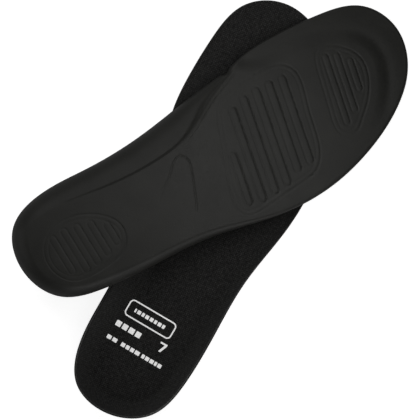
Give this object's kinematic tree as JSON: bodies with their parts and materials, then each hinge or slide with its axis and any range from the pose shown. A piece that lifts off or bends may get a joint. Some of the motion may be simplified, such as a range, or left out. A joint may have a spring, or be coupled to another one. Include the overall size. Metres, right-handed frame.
{
  "type": "pair of cushioned insoles",
  "caption": "Pair of cushioned insoles with a moulded foam base, heel cup, arch wing and knitted top cover; the right lies sole down and the left lies turned over across it.",
  "frame": {"origin": "middle of the pair's bounding box, on the surface that the pair lies on", "axes": "+Z up, away from the surface; +Y along the pair's longer side in plan, towards the toe of the right insole; +X to the right when the pair is seen from above with +Y up"},
  "size_m": [0.2302, 0.244, 0.0455],
  "materials": {
    "base_foam": "satin skin of moulded polyurethane foam, charcoal",
    "ply_textile": "tight woven high-tenacity polyester, matt",
    "bond_film": "hot-melt adhesive web",
    "comfort_foam": "open-cell foam sheet, matt",
    "cover_knit": "fine black knit, matt",
    "print_ink": "white screen-print ink"
  },
  "bodies": {
    "right_insole": {"right_foam_base": "base_foam", "right_textile_ply_lower": "ply_textile", "right_textile_ply_middle": "ply_textile", "right_textile_ply_upper": "ply_textile", "right_bond_film": "bond_film", "right_comfort_foam": "comfort_foam", "right_top_cover": "cover_knit", "right_print_frame": "print_ink", "right_print_bars": "print_ink", "right_print_numeral": "print_ink"},
    "left_insole": {"left_foam_base": "base_foam", "left_textile_ply_lower": "ply_textile", "left_textile_ply_middle": "ply_textile", "left_textile_ply_upper": "ply_textile", "left_bond_film": "bond_film", "left_comfort_foam": "comfort_foam", "left_top_cover": "cover_knit", "left_print_frame": "print_ink", "left_print_bars": "print_ink", "left_print_numeral": "print_ink"}
  },
  "joints": [
    {"name": "left_insole_lift", "type": "slide", "parent": "right_insole", "child": "left_insole", "axis": [0, 0, 1], "range_m": [0, 0.12]}
  ]
}
